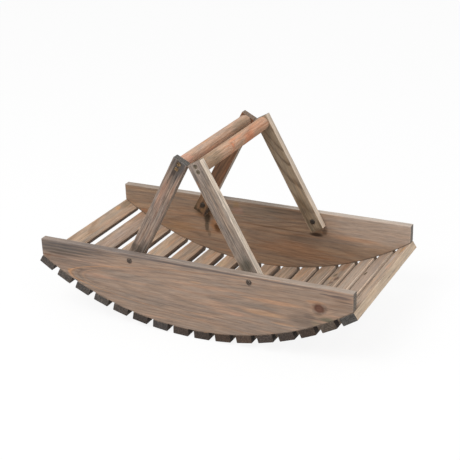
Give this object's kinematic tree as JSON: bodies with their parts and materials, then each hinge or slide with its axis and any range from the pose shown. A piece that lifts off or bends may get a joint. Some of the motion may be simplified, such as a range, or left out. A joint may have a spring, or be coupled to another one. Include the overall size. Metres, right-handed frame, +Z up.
{
  "type": "garden trug",
  "caption": "Boat-shaped slatted wooden garden trug with curved side boards and swinging U-shaped handles with round grips, for carrying cut flowers.",
  "frame": {"origin": "under the middle of the tray, on the surface that the trug stands on", "axes": "+X along the tray from the left handle to the right one, +Y across it from the front board to the back board, +Z up"},
  "size_m": [0.5124, 0.2616, 0.2715],
  "materials": {
    "board_wood": "weathered grey-brown pine, matt, with knots and worn lighter edges",
    "slat_wood": "weathered tan pine, matt, with dark end grain",
    "arm_wood": "weathered grey pine, matt, dark streaks",
    "grip_wood": "turned orange-tan dowel, matt",
    "dark_steel": "dark bronzed steel, satin",
    "washer_steel": "dull zinc",
    "nail_steel": "dull zinc",
    "yellow_screw": "yellow passivated, dulled"
  },
  "bodies": {
    "tray": {"front_board": "board_wood", "back_board": "board_wood", "slat_01": "slat_wood", "slat_02": "slat_wood", "slat_03": "slat_wood", "slat_04": "slat_wood", "slat_05": "slat_wood", "slat_06": "slat_wood", "slat_07": "slat_wood", "slat_08": "slat_wood", "slat_09": "slat_wood", "slat_10": "slat_wood", "slat_11": "slat_wood", "slat_12": "slat_wood", "slat_13": "slat_wood", "slat_14": "slat_wood", "slat_15": "slat_wood", "slat_16": "slat_wood", "slat_nails": "nail_steel", "pivot_bolts": "dark_steel", "pivot_sleeves": "dark_steel", "pivot_washers": "washer_steel"},
    "left_handle": {"left_front_arm": "arm_wood", "left_back_arm": "arm_wood", "left_grip": "grip_wood", "left_grip_screws": "yellow_screw"},
    "right_handle": {"right_front_arm": "arm_wood", "right_back_arm": "arm_wood", "right_grip": "grip_wood", "right_grip_screws": "yellow_screw"}
  },
  "joints": [
    {"name": "left_handle_fold", "type": "hinge", "parent": "tray", "child": "left_handle", "pos_m": [-0.096, 0, 0.10661], "axis": [0, -1, 0], "range_deg": [0, 120]},
    {"name": "right_handle_fold", "type": "hinge", "parent": "tray", "child": "right_handle", "pos_m": [0.096, 0, 0.10661], "axis": [0, 1, 0], "range_deg": [0, 120]}
  ]
}
